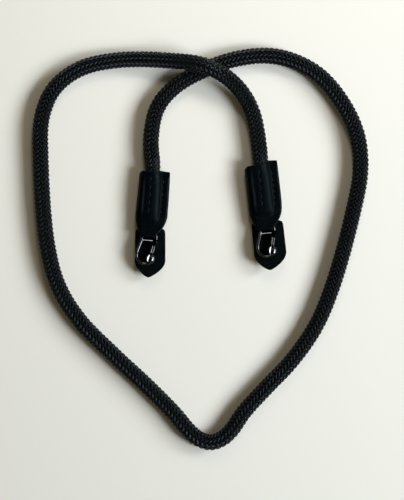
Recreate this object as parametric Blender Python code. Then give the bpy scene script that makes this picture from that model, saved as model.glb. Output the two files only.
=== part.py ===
"""Camera strap: a braided rope whose two ends are sewn into folded leather, each with a guard flap and a snap hook.

Metres, +Z up. The strap lies on the plane z = 0. The origin is on that plane, under the middle of the two leather
ends. The rope passes over itself once, and the hooks point towards -Y.
"""

from math import cos, pi, radians, sin

import bmesh
import bpy
from mathutils import Matrix, Vector

MM = 0.001

# Rope
ROPE_DIAMETER = 9.8 * MM
ROPE_SIDES_RESOLUTION = 3
ROPE_POINT_SPACING = 12.5 * MM
ROPE_REST_HEIGHT = 5.0 * MM
ROPE_PRESSED = 0.92  # how far the sleeve's mouth squeezes the rope

# The rope's middle line in millimetres: from inside the left sleeve, up and round the right lobe, down to the point
# of the heart, up and round the left lobe, over the first stretch, and into the right sleeve.
ROPE_ROUTE = (
    (-39.6, 29.5, 6.2),
    (-39.2, 34.9, 6.2),
    (-40.7, 53.7, 5.0),
    (-36.9, 75.2, 5.0),
    (-25.9, 89.5, 5.0),
    (-2.4, 103.2, 5.0),
    (23.6, 110.9, 5.0),
    (47.1, 110.9, 5.0),
    (71.1, 100.5, 5.0),
    (88.6, 81.2, 5.0),
    (99.6, 57.7, 5.0),
    (101.7, 33.7, 5.0),
    (97.1, 7.2, 5.0),
    (83.1, -43.8, 5.0),
    (71.1, -72.3, 5.0),
    (55.1, -95.3, 5.0),
    (37.6, -113.8, 5.0),
    (22.5, -130.3, 5.0),
    (14.1, -142.5, 5.0),
    (7.5, -148.5, 5.0),
    (0.3, -151.0, 5.0),
    (-7.3, -149.1, 5.0),
    (-14.7, -143.3, 5.0),
    (-24.9, -131.3, 5.0),
    (-42.9, -113.1, 5.0),
    (-66.9, -90.7, 5.0),
    (-89.4, -67.8, 5.0),
    (-103.4, -45.3, 5.0),
    (-111.1, -17.3, 5.0),
    (-115.7, 42.7, 5.0),
    (-114.7, 70.7, 5.0),
    (-106.4, 89.7, 5.0),
    (-88.9, 103.0, 5.0),
    (-61.9, 109.0, 5.0),
    (-27.9, 108.0, 9.2),
    (-3.4, 103.5, 15.4),
    (16.6, 91.5, 9.4),
    (27.6, 73.7, 5.0),
    (33.3, 39.6, 6.2),
    (33.7, 34.2, 6.2),
)

# Leather
LEATHER = 1.4 * MM
GAP = 0.3 * MM
ROPE_END_GAP = 0.45 * MM
STITCH_LINE = -1.9 * MM  # across the sleeve, where the middle row pulls the leather into the rope
STITCH_REACH = 1.75 * MM
SLEEVE_SPANS = 14
CREASE = 0.25 * MM

# Sections of a sleeve in millimetres, at stations measured from its mouth: the folded edge, the end of the rope's
# bulge and the raw edge across it, then the heights of its top and underside, how deep the stitching pulls it in,
# and how square the section is.
SLEEVE_SECTIONS = (
    # station, fold, bulge, edge, top, bottom, valley, squareness
    (0.0, -9.4, 5.0, 10.2, 12.4, 0.0, 0.0, 2.3),
    (1.2, -9.9, 5.2, 10.6, 12.5, 0.0, 0.0, 2.3),
    (4.0, -10.0, 5.6, 10.8, 12.4, 0.0, 0.0, 2.4),
    (8.0, -10.0, 5.9, 10.9, 11.2, 0.0, 1.1, 2.5),
    (13.0, -10.1, 6.0, 11.0, 10.6, 0.0, 1.4, 2.5),
    (20.0, -10.3, 6.1, 11.1, 10.4, 0.0, 1.4, 2.5),
    (26.0, -10.5, 6.1, 11.1, 10.3, 0.0, 1.2, 2.5),
    (30.0, -10.6, 6.0, 11.0, 10.0, 0.0, 0.5, 2.6),
    (32.5, -10.4, 6.5, 10.7, 9.2, 0.5, 0.0, 3.0),
    (35.0, -9.9, 7.5, 10.2, 8.7, 2.9, 0.0, 4.0),
    (37.6, -9.1, 8.2, 9.3, 9.1, 4.6, 0.0, 6.0),
    (39.8, -7.3, 6.9, 7.4, 9.9, 5.0, 0.0, 8.0),
    (41.0, -6.3, 5.9, 6.4, 10.0, 5.1, 0.0, 8.0),
)
CAVITY_STATIONS = (-1.0, 1.2, 4.0, 8.0, 13.0, 20.0, 26.0, 29.0)  # the first is outside the mouth
ROPE_END_STATIONS = (4.6, 8.0, 13.0, 20.0, 26.0, 28.5)

# The tongue's loop round the hook's eye bar
EYE_STATION = 42.6 * MM
EYE_HEIGHT = 7.4 * MM
LOOP_WIDTH = 7.0 * MM
LOOP_RADIUS = 2.6 * MM
LOOP_HOLE_RADIUS = 1.3 * MM
SHOULDER_HALF_WIDTH = 6.3 * MM
SHOULDER_START = 1.9 * MM  # behind the eye bar
SHOULDER_END = 1.7 * MM  # past the eye bar
SHOULDER_UNDERSIDE = 1.4 * MM  # above the eye bar's axis

# Guard flap: distance from its root and half width, in millimetres
FLAP_THICKNESS = 1.7 * MM
FLAP_TOP = -2.9 * MM  # below the hook's middle plane
FLAP_ROOT = 4.3 * MM  # behind the eye bar
FLAP_OFFSET = 0.6 * MM
FLAP_TIP_SKEW = -1.2 * MM
FLAP_SKEW_START = 20.0 * MM
FLAP_OUTLINE = (
    # along, half width
    (0.0, 8.2),
    (0.6, 9.3),
    (2.0, 9.9),
    (9.0, 10.1),
    (18.0, 10.35),
    (22.0, 10.4),
    (24.5, 9.9),
    (26.6, 8.8),
    (28.6, 7.2),
    (30.4, 5.3),
    (32.0, 3.1),
    (33.2, 0.9),
    (33.4, 0.0),
)

# Hook, measured from its eye bar: "down" is away from the eye
BAR_RADIUS = 0.95 * MM
ROD_RADIUS = 1.1 * MM
ROD_SIDES = 12
EYE_HALF_WIDTH = 4.75 * MM
EYE_CORNER = 1.3 * MM
CROSS_BAR_DOWN = 4.1 * MM
SPINE_TOP = Vector((-5.2, 5.2)) * MM
BOTTOM_CENTRE = Vector((-1.25, 14.0)) * MM
BOTTOM_RADIUS = 6.35 * MM
BOTTOM_END_ANGLE = 58.0
NOSE_CENTRE = Vector((1.4, 16.7)) * MM
NOSE_SIZE = Vector((3.15, 3.65, 2.6)) * MM

# Gate: a lever forked over the hook's lug, on a rivet, whose blade sits in the nose
PIVOT = Vector((4.3, 4.5)) * MM
LUG_RADIUS = 1.55 * MM
RIVET_RADIUS = 0.55 * MM
RIVET_HOLE_RADIUS = 0.85 * MM
CHEEK_INNER = 1.25 * MM
CHEEK_OUTER = 1.8 * MM
GATE_LEAN = 12.9  # degrees inwards from straight down
GATE_NECK = 2.0 * MM
GATE_HALF_WIDTH = 0.95 * MM
GATE_ROD_RADIUS = 1.0 * MM
GATE_ROD_START = 3.4 * MM
GATE_ROD_END = 8.5 * MM
BLADE_END = 10.6 * MM
SLOT_START = 7.0 * MM
BLADE_HALF_THICKNESS = 0.5 * MM

# Each end: where the middle of its sleeve's mouth stands, how far it is turned, how far its flap and hook slope up
# towards the tip, how far its flap is turned on the tongue, and how broad its leather is
ENDS = {
    "left": {
        "mouth": (-38.4 * MM, 33.0 * MM),
        "turn": -4.3,
        "slope": 6.0,
        "flap_turn": 4.0,
        "breadth": 1.0,
    },
    "right": {
        "mouth": (33.9 * MM, 37.9 * MM),
        "turn": 5.6,
        "slope": 9.0,
        "flap_turn": 0.0,
        "breadth": 1.05,
    },
}


# ---------------------------------------------------------------- helpers


def material(name, colour, roughness, metallic=0.0):
    made = bpy.data.materials.new(name)
    made.use_nodes = True
    shader = made.node_tree.nodes["Principled BSDF"]
    shader.inputs["Base Color"].default_value = (*colour, 1.0)
    shader.inputs["Roughness"].default_value = roughness
    shader.inputs["Metallic"].default_value = metallic
    return made


def place(obj, parent=None, location=(0.0, 0.0, 0.0), turn=0.0, slope=0.0):
    """Puts an object under its parent, sloped about its own X and then turned about Z."""
    obj.location = location
    obj.rotation_euler = (radians(slope), 0.0, radians(turn))
    obj.parent = parent
    bpy.context.scene.collection.objects.link(obj)
    return obj


def mesh_object(name, bm, finish=None):
    bmesh.ops.recalc_face_normals(bm, faces=bm.faces)
    mesh = bpy.data.meshes.new(name)
    bm.to_mesh(mesh)
    bm.free()
    if finish:
        mesh.materials.append(finish)
    mesh.shade_smooth()
    mesh.set_sharp_from_angle(angle=radians(35.0))
    return bpy.data.objects.new(name, mesh)


def tool(name, bm, parent, location=(0.0, 0.0, 0.0), turn=0.0):
    """An object that only adds to or cuts another one."""
    made = place(mesh_object(name, bm), parent, location, turn)
    made.hide_render = True
    made.display_type = "WIRE"
    return made


def combine(obj, operation, *tools):
    for other in tools:
        step = obj.modifiers.new(f"{operation.lower()}_{other.name}", "BOOLEAN")
        step.operation = operation
        step.solver = "EXACT"
        step.object = other


def closed_ring(bm, points):
    verts = [bm.verts.new(p) for p in points]
    return [bm.edges.new((a, b)) for a, b in zip(verts, verts[1:] + verts[:1])]


def cap(bm, ring):
    bmesh.ops.contextual_create(bm, geom=ring)


def skin(bm, rings):
    """Joins each ring of edges to the next one."""
    for first, second in zip(rings, rings[1:]):
        bmesh.ops.bridge_loops(bm, edges=first + second)


def plate(outline, low, high):
    """A flat outline, in the plane of X and Y, made thick from low to high."""
    bm = bmesh.new()
    cap(bm, closed_ring(bm, [(x, y, low) for x, y in outline]))
    made = bmesh.ops.extrude_face_region(bm, geom=bm.faces[:])
    upper = [v for v in made["geom"] if isinstance(v, bmesh.types.BMVert)]
    bmesh.ops.translate(bm, vec=(0.0, 0.0, high - low), verts=upper)
    return bm


def disc(radius, low, high, sides=20):
    bm = bmesh.new()
    bmesh.ops.create_cone(
        bm, cap_ends=True, segments=sides, radius1=radius, radius2=radius, depth=high - low
    )
    bmesh.ops.translate(bm, vec=(0.0, 0.0, (low + high) / 2), verts=bm.verts)
    return bm


def rod(path, radius, sides=ROD_SIDES):
    """A round rod along a path that lies in the plane of X and Y."""
    bm = bmesh.new()
    rings = []
    for i, point in enumerate(path):
        back = (point - path[i - 1]).normalized() if i else None
        ahead = (path[i + 1] - point).normalized() if i + 1 < len(path) else None
        way = ((back or ahead) + (ahead or back)).normalized()
        side = Vector((-way.y, way.x))
        stretch = 1.0 / side.dot(Vector((-ahead.y, ahead.x))) if back and ahead else 1.0
        ring = []
        for k in range(sides):
            angle = 2 * pi * k / sides
            across = point + side * (radius * stretch * cos(angle))
            ring.append((across.x, across.y, radius * sin(angle)))
        rings.append(closed_ring(bm, ring))
    skin(bm, rings)
    cap(bm, rings[0])
    cap(bm, rings[-1])
    return bm


def arc(centre, radius, start, end, steps):
    """Points on an arc, its angles in degrees from +X towards +Y."""
    turns = [radians(start + (end - start) * k / steps) for k in range(steps + 1)]
    return [centre + Vector((cos(t), sin(t))) * radius for t in turns]


def down(point):
    """From the hook's own measures, across and down, to X and Y."""
    return Vector((point.x, -point.y))


# ---------------------------------------------------------------- rope


def smooth_line(points, spacing):
    """Evenly spaced points on a smooth curve (centripetal Catmull-Rom) through the given ones."""
    knots = [Vector(p) * MM for p in points]
    knots = [2 * knots[0] - knots[1], *knots, 2 * knots[-1] - knots[-2]]
    fine = []
    for a, b, c, d in zip(knots, knots[1:], knots[2:], knots[3:]):
        t1 = (b - a).length ** 0.5
        t2 = t1 + (c - b).length ** 0.5
        t3 = t2 + (d - c).length ** 0.5
        for k in range(24):
            t = t1 + (t2 - t1) * k / 24
            ab = a.lerp(b, t / t1)
            bc = b.lerp(c, (t - t1) / (t2 - t1))
            cd = c.lerp(d, (t - t2) / (t3 - t2))
            abc = ab.lerp(bc, t / t2)
            bcd = bc.lerp(cd, (t - t1) / (t3 - t1))
            fine.append(abc.lerp(bcd, (t - t1) / (t2 - t1)))
    fine.append(knots[-2])
    total = sum((b - a).length for a, b in zip(fine, fine[1:]))
    count = round(total / spacing)
    even, walked, target = [fine[0]], 0.0, total / count
    for a, b in zip(fine, fine[1:]):
        step = (b - a).length
        while walked + step >= target and len(even) < count:
            even.append(a.lerp(b, (target - walked) / step))
            target += total / count
        walked += step
    even.append(fine[-1])
    return even


def build_rope(finish):
    line = smooth_line(ROPE_ROUTE, ROPE_POINT_SPACING)
    curve = bpy.data.curves.new("rope", "CURVE")
    curve.dimensions = "3D"
    curve.bevel_depth = ROPE_DIAMETER / 2
    curve.bevel_resolution = ROPE_SIDES_RESOLUTION
    curve.render_resolution_u = 0
    curve.use_fill_caps = True
    spline = curve.splines.new("POLY")
    spline.points.add(len(line) - 1)
    for point, at in zip(spline.points, line):
        point.co = (at.x, at.y, max(at.z, ROPE_REST_HEIGHT), 1.0)
    for point in (spline.points[0], spline.points[-1]):
        point.radius = ROPE_PRESSED
    curve.materials.append(finish)
    place(bpy.data.objects.new("rope", curve))


# ---------------------------------------------------------------- sleeve


def sleeve_row(station):
    """The sleeve's section at a station, in millimetres, between the two nearest rows of the table."""
    for low, high in zip(SLEEVE_SECTIONS, SLEEVE_SECTIONS[1:]):
        if station <= high[0]:
            share = (station - low[0]) / (high[0] - low[0])
            return [a + (b - a) * share for a, b in zip(low, high)]
    return list(SLEEVE_SECTIONS[-1])


def sleeve_section(station, breadth, inset=0.0):
    """A ring of points round the sleeve, or round what lies inset from its skin.

    The ring starts at the fold, crosses the top to the raw edge and returns along the underside. The top and the
    underside are two halves of a squared oval with a stitched valley, and its underside is flat where it rests.
    """
    _, fold, bulge, edge, top, bottom, valley, square = (x * MM for x in sleeve_row(station))
    square /= MM
    middle = (top + bottom) / 2
    height = (top - bottom) / 2 - inset
    left, right = fold * breadth + inset, bulge * breadth
    margin, margin_edge = min(LEATHER, height), edge * breadth
    if inset:
        slack = LEATHER + ROPE_END_GAP - inset
        right -= LEATHER / 4 + ROPE_END_GAP - slack
        margin, margin_edge = CREASE + slack, right + CREASE
    centre, half = (left + right) / 2, (right - left) / 2
    upper, lower = [], []
    for i in range(SLEEVE_SPANS + 1):
        s = -cos(pi * i / SLEEVE_SPANS)
        across = centre + half * s
        oval = (1 - min(abs(s), 1.0) ** square) ** 0.5
        pull = valley * max(0.0, 1 - ((across - STITCH_LINE) / STITCH_REACH) ** 2) ** 2
        rise = height * oval
        drop = height * min(1.0, 1.4 * oval)
        if s > 0:
            rise, drop = max(rise, margin), max(drop, margin)
        upper.append((across, -station * MM, middle + rise - pull))
        lower.append((across, -station * MM, middle - drop + pull))
    edge_points = [
        (margin_edge, -station * MM, middle + margin),
        (margin_edge, -station * MM, middle - margin),
    ]
    return upper + edge_points + lower[:0:-1]


def loft(stations, breadth, inset=0.0):
    """A closed body through the sleeve's sections at these stations."""
    bm = bmesh.new()
    rings = [closed_ring(bm, sleeve_section(at, breadth, inset)) for at in stations]
    skin(bm, rings)
    cap(bm, rings[0])
    cap(bm, rings[-1])
    return bm


def loop_solid():
    """The tongue's end, as it turns back round the eye bar: a round-ended block, upright in the plane of Y and Z."""
    outline = [Vector((SHOULDER_START, -LOOP_RADIUS)), Vector((SHOULDER_START, LOOP_RADIUS))]
    outline += arc(Vector((0.0, 0.0)), LOOP_RADIUS, 90.0, 270.0, 12)
    bm = plate(outline, -LOOP_WIDTH / 2, LOOP_WIDTH / 2)
    # The outline's X becomes Y, its Y becomes Z, and its thickness X.
    bmesh.ops.transform(
        bm, matrix=Matrix(((0, 0, 1, 0), (1, 0, 0, 0), (0, 1, 0, 0), (0, 0, 0, 1))), verts=bm.verts
    )
    return bm


def build_sleeve(name, end, finish, parent):
    outside = loft([row[0] for row in SLEEVE_SECTIONS], end["breadth"])
    sleeve = place(mesh_object(f"{name}_sleeve", outside, finish), parent)
    cavity = tool(f"{name}_cavity", loft(CAVITY_STATIONS, end["breadth"], LEATHER), parent)
    eye = (0.0, -EYE_STATION, EYE_HEIGHT)
    loop = tool(f"{name}_loop_form", loop_solid(), parent, eye)
    start, reach = SHOULDER_HALF_WIDTH, LOOP_WIDTH / 2 - CREASE
    outline = [
        (-start, SHOULDER_START),
        (start, SHOULDER_START),
        (reach, -SHOULDER_END),
        (-reach, -SHOULDER_END),
    ]
    top = LOOP_RADIUS + CREASE / 5
    shoulders = tool(
        f"{name}_shoulder_form", plate(outline, SHOULDER_UNDERSIDE, top), parent, eye
    )
    hole = bmesh.new()
    bmesh.ops.create_cone(
        hole,
        cap_ends=True,
        segments=16,
        radius1=LOOP_HOLE_RADIUS,
        radius2=LOOP_HOLE_RADIUS,
        depth=2 * SHOULDER_HALF_WIDTH,
        matrix=Matrix.Rotation(pi / 2, 4, "Y"),
    )
    combine(sleeve, "UNION", loop, shoulders)
    combine(sleeve, "DIFFERENCE", cavity, tool(f"{name}_eye_cutter", hole, parent, eye))


def build_rope_end(name, end, finish, parent):
    """The rope's pressed end, which fills the sleeve and is stitched through."""
    bm = loft(ROPE_END_STATIONS, end["breadth"], LEATHER + ROPE_END_GAP)
    place(mesh_object(f"{name}_rope_end", bm, finish), parent)


# ---------------------------------------------------------------- flap


def build_flap(name, end, finish, eye):
    """The guard flap, under the tongue and the hook, in the hook's sloping frame."""
    sides = {-1: [], 1: []}
    for along, half in FLAP_OUTLINE:
        past = max(0.0, along * MM - FLAP_SKEW_START)
        length = FLAP_OUTLINE[-1][0] * MM - FLAP_SKEW_START
        middle = FLAP_TIP_SKEW * (past / length) ** 2
        for side, points in sides.items():
            points.append((middle + side * half * MM * end["breadth"], -along * MM))
    outline = sides[1][:-1] + sides[-1][::-1]
    bm = plate(outline, FLAP_TOP - FLAP_THICKNESS, FLAP_TOP)
    flap = mesh_object(f"{name}_flap", bm, finish)
    place(flap, eye, (FLAP_OFFSET, FLAP_ROOT, 0.0), end["flap_turn"])


# ---------------------------------------------------------------- hook


def hook_body_path():
    """The rod's middle line: up from the lug, over the eye bar, down the spine and round to the nose."""
    w, r = EYE_HALF_WIDTH, EYE_CORNER
    path = [down(Vector((w, CROSS_BAR_DOWN)))]
    path += arc(Vector((w - r, -r)), r, 0.0, 90.0, 4)
    path += arc(Vector((r - w, -r)), r, 90.0, 180.0, 4)
    path += [down(Vector((-w, CROSS_BAR_DOWN - BAR_RADIUS))), down(SPINE_TOP)]
    path += arc(down(BOTTOM_CENTRE), BOTTOM_RADIUS, 180.0, 360.0 - BOTTOM_END_ANGLE, 12)
    return path


def build_hook(name, finish, eye):
    hook = place(mesh_object(f"{name}_hook", rod(hook_body_path(), BAR_RADIUS), finish), eye)
    cross = [down(Vector((x, CROSS_BAR_DOWN))) for x in (-EYE_HALF_WIDTH, PIVOT.x)]
    nose = bmesh.new()
    bmesh.ops.create_uvsphere(nose, u_segments=18, v_segments=12, radius=1.0)
    bmesh.ops.scale(nose, vec=NOSE_SIZE, verts=nose.verts)
    centre, pivot = down(NOSE_CENTRE).to_3d(), down(PIVOT).to_3d()
    combine(
        hook,
        "UNION",
        tool(f"{name}_cross_bar_form", rod(cross, BAR_RADIUS), eye),
        tool(f"{name}_lug_form", disc(LUG_RADIUS, -BAR_RADIUS, BAR_RADIUS), eye, pivot),
        tool(f"{name}_nose_form", nose, eye, centre),
    )
    side = GATE_HALF_WIDTH + GAP
    far, high, low = -8 * MM, -SLOT_START, -BLADE_END - GAP
    slot = plate(
        [(far, low), (side, low), (side, high), (far, high)],
        -BLADE_HALF_THICKNESS - GAP,
        BLADE_HALF_THICKNESS + GAP,
    )
    hole = disc(RIVET_HOLE_RADIUS, -3 * BAR_RADIUS, 3 * BAR_RADIUS, 16)
    combine(
        hook,
        "DIFFERENCE",
        tool(f"{name}_nose_cutter", slot, eye, pivot, -GATE_LEAN),
        tool(f"{name}_rivet_cutter", hole, eye, pivot),
    )
    return hook


def build_gate(name, finish, hook):
    """The lever, whose origin is its rivet's middle. It hangs along its own -Y."""
    bm = disc(RIVET_RADIUS, -CHEEK_OUTER, CHEEK_OUTER, 12)
    gate = mesh_object(f"{name}_gate", bm, finish)
    place(gate, hook, down(PIVOT).to_3d(), -GATE_LEAN)
    forms = []
    for label, low, high in (
        ("upper", CHEEK_INNER, CHEEK_OUTER),
        ("lower", -CHEEK_OUTER, -CHEEK_INNER),
    ):
        outline = arc(Vector((0.0, 0.0)), LUG_RADIUS, 0.0, 180.0, 10)
        outline += [Vector((-GATE_HALF_WIDTH, -GATE_NECK)), Vector((-GATE_HALF_WIDTH, -GATE_ROD_START))]
        outline += [Vector((GATE_HALF_WIDTH, -GATE_ROD_START)), Vector((GATE_HALF_WIDTH, -GATE_NECK))]
        forms.append(tool(f"{name}_{label}_cheek_form", plate(outline, low, high), gate))
    w = GATE_HALF_WIDTH
    neck = [(-w, -GATE_NECK), (-w, -GATE_ROD_START), (w, -GATE_ROD_START), (w, -GATE_NECK)]
    forms.append(
        tool(f"{name}_neck_form", plate(neck, -CHEEK_OUTER + CREASE, CHEEK_OUTER - CREASE), gate)
    )
    shaft = [Vector((0.0, -GATE_NECK - CREASE)), Vector((0.0, -GATE_ROD_END))]
    forms.append(tool(f"{name}_rod_form", rod(shaft, GATE_ROD_RADIUS), gate))
    w = GATE_HALF_WIDTH - CREASE / 2
    blade = [(-w, -GATE_ROD_END + MM), (-w, -BLADE_END), (w, -BLADE_END), (w, -GATE_ROD_END + MM)]
    forms.append(
        tool(
            f"{name}_blade_form",
            plate(blade, -BLADE_HALF_THICKNESS, BLADE_HALF_THICKNESS),
            gate,
        )
    )
    combine(gate, "UNION", *forms)


# ---------------------------------------------------------------- assembly


def main():
    for obj in list(bpy.data.objects):
        bpy.data.objects.remove(obj)
    rope = material("braided_rope", (0.016, 0.017, 0.020), 0.75)
    smooth = material("black_leather", (0.010, 0.011, 0.013), 0.42)
    suede = material("black_suede", (0.012, 0.015, 0.018), 0.85)
    nickel = material("black_nickel", (0.23, 0.23, 0.24), 0.12, 1.0)
    build_rope(rope)
    for name, end in ENDS.items():
        x, y = end["mouth"]
        base = place(bpy.data.objects.new(f"{name}_end", None), None, (x, y, 0.0), end["turn"])
        eye = place(
            bpy.data.objects.new(f"{name}_eye", None),
            base,
            (0.0, -EYE_STATION, EYE_HEIGHT),
            slope=-end["slope"],
        )
        build_rope_end(name, end, rope, base)
        build_sleeve(name, end, smooth, base)
        build_flap(name, end, suede, eye)
        build_gate(name, nickel, build_hook(name, nickel, eye))


main()
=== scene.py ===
"""Camera strap: a black braided rope with two leather ends, each with a guard flap and a snap hook.

Metres, +Z up. The strap lies on the plane z = 0, and its hooks point towards -Y.
"""

from math import atan2, copysign, cos, exp, pi, radians, sin, tanh

import bmesh
import bpy
from mathutils import Matrix, Vector, kdtree
from mathutils.bvhtree import BVHTree


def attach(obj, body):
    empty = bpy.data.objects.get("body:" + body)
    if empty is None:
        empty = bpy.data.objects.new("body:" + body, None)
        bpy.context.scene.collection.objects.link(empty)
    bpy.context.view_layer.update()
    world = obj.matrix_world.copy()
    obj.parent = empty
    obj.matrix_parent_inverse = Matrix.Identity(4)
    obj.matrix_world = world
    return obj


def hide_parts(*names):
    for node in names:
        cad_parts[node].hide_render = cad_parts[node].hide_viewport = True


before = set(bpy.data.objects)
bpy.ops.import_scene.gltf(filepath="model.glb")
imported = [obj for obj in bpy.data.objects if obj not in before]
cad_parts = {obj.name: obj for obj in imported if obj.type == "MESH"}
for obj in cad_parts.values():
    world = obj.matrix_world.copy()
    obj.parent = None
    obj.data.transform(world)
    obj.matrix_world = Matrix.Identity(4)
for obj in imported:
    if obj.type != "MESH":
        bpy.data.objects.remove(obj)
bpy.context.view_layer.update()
MM = 0.001


# ------------------------------------------------------ the surface, the light and the camera
# A matt white table top. Daylight falls from two window panes on the right, a small lamp stands
# past the top, and a warm, lamplit room fills the shadows. The camera hangs straight above.


def linear(colour):
    """An sRGB hex colour as the linear colour that a shader takes."""
    channels = [int(colour[i : i + 2], 16) / 255 for i in (1, 3, 5)]
    return (*(c / 12.92 if c <= 0.04045 else ((c + 0.055) / 1.055) ** 2.4 for c in channels), 1.0)


def add(tree, kind, values=None, links=None, **settings):
    """Adds a node with its settings, its sockets' values, and its links from other sockets."""
    made = tree.nodes.new(kind)
    for name, value in settings.items():
        setattr(made, name, value)
    for socket, value in (values or {}).items():
        made.inputs[socket].default_value = value
    for socket, source in (links or {}).items():
        tree.links.new(source, made.inputs[socket])
    return made


def finish(name):
    """A new material, its node tree and its Principled shader."""
    made = bpy.data.materials.new(name)
    made.use_nodes = True
    return made, made.node_tree, made.node_tree.nodes["Principled BSDF"]


def as_object(name, bm):
    """An object made from a bmesh, which is freed."""
    mesh = bpy.data.meshes.new(name)
    bm.to_mesh(mesh)
    bm.free()
    made = bpy.data.objects.new(name, mesh)
    bpy.context.scene.collection.objects.link(made)
    return made


def show(name, bm, material, body, smooth_angle=40.0):
    """Makes a finished mesh a piece on a body. Its edges stay sharp past the angle, in degrees."""
    piece = as_object(name, bm)
    piece.data.materials.append(material)
    piece.data.shade_smooth()
    piece.data.set_sharp_from_angle(angle=radians(smooth_angle))
    if body:
        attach(piece, body)
    return piece


TABLE_SIZE = 8.0
table_top, tree, shader = finish("painted_white_board")
# Board with two coats of matt white paint, which scatters the light and shows no reflections.
shader.inputs["Base Color"].default_value = linear("#eeeeee")
shader.inputs["Roughness"].default_value = 0.75
bm = bmesh.new()
bmesh.ops.create_grid(bm, x_segments=1, y_segments=1, size=TABLE_SIZE / 2)
table = show("table_top", bm, table_top, None)


LIGHT_AIM = (0.05, 0.25, 0.0)  # past the strap's top, so that the light falls off below
LIGHT_SPREAD = 100.0  # degrees


def area_light(name, azimuth, elevation, distance, size, power, colour):
    """A soft light, placed by azimuth (degrees from +X towards +Y), elevation and distance."""
    light = bpy.data.lights.new(name, "AREA")
    light.shape = "RECTANGLE"
    light.size, light.size_y = size
    light.energy = power
    light.color = linear(colour)[:3]
    light.spread = radians(LIGHT_SPREAD)
    a, e = radians(azimuth), radians(elevation)
    away = Vector((cos(a) * cos(e), sin(a) * cos(e), sin(e)))
    lamp = bpy.data.objects.new(name, light)
    lamp.location = away * distance
    lamp.visible_camera = False
    lamp.rotation_euler = (lamp.location - Vector(LIGHT_AIM)).to_track_quat("Z", "Y").to_euler()
    bpy.context.scene.collection.objects.link(lamp)


area_light("window_pane", -18.0, 37.0, 2.4, (0.9, 1.02), 17.1, "#fafffd")
area_light("window_far_pane", 17.0, 30.0, 2.4, (0.78, 0.78), 9.4, "#fafffd")
area_light("lamp", 86.0, 44.0, 0.75, (0.17, 0.17), 0.3, "#fff2dc")

ROOM_TONES = (
    # the sine of the height above the table, and the room's colour there: pale walls low down, dark
    # furniture, the lit ceiling, and its unlit middle
    (0.0, "#7d796d"),
    (0.05, "#7d796d"),
    (0.2, "#3a3221"),
    (0.55, "#8c8163"),
    (0.75, "#8c8163"),
    (0.93, "#0c0b09"),
)
FAR_SIDE, WINDOW_SIDE = 0.25, 1.4  # how bright the room is away from the window, and towards it
world = bpy.data.worlds.new("lamplit_room")
world.use_nodes = True
tree = world.node_tree
direction = add(tree, "ShaderNodeTexCoord")
split = add(tree, "ShaderNodeSeparateXYZ", links={"Vector": direction.outputs["Generated"]})
room = add(tree, "ShaderNodeValToRGB", links={"Fac": split.outputs["Z"]})
for stop, (at, tone) in enumerate(ROOM_TONES):
    point = room.color_ramp.elements[stop] if stop < 2 else room.color_ramp.elements.new(at)
    point.position, point.color = at, linear(tone)
strength = add(
    tree,
    "ShaderNodeMapRange",
    {"From Min": -1.0, "From Max": 1.0, "To Min": FAR_SIDE, "To Max": WINDOW_SIDE},
    {"Value": split.outputs["X"]},
)
tree.links.new(room.outputs["Color"], tree.nodes["Background"].inputs["Color"])
tree.links.new(strength.outputs["Result"], tree.nodes["Background"].inputs["Strength"])
bpy.context.scene.world = world
bpy.context.scene.view_settings.view_transform = "Standard"

LENS, SENSOR = 100.0, 36.0  # mm
VIEW_HEIGHT = 340.0 * MM  # what the camera sees from bottom to top, in the plane below
VIEW_PLANE = 5.5 * MM  # the height of the rope's middle
VIEW_CENTRE = (-6.0 * MM, -20.2 * MM)
camera = bpy.data.objects.new("camera", bpy.data.cameras.new("camera"))
camera.data.lens = LENS
camera.data.clip_start, camera.data.clip_end = 0.01, 20.0
camera.location = (*VIEW_CENTRE, VIEW_HEIGHT * LENS / SENSOR + VIEW_PLANE)
bpy.context.scene.collection.objects.link(camera)
bpy.context.scene.camera = camera


# ------------------------------------------------------------------ the rope
# A 10 mm round rope, braided from 24 strands of black polyester yarn, two over and two under, round
# a soft core. The strands of each way round are a piece of their own. It lies in a heart-shaped
# loop, passes over itself once, and its two ends go into the leather.

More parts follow.
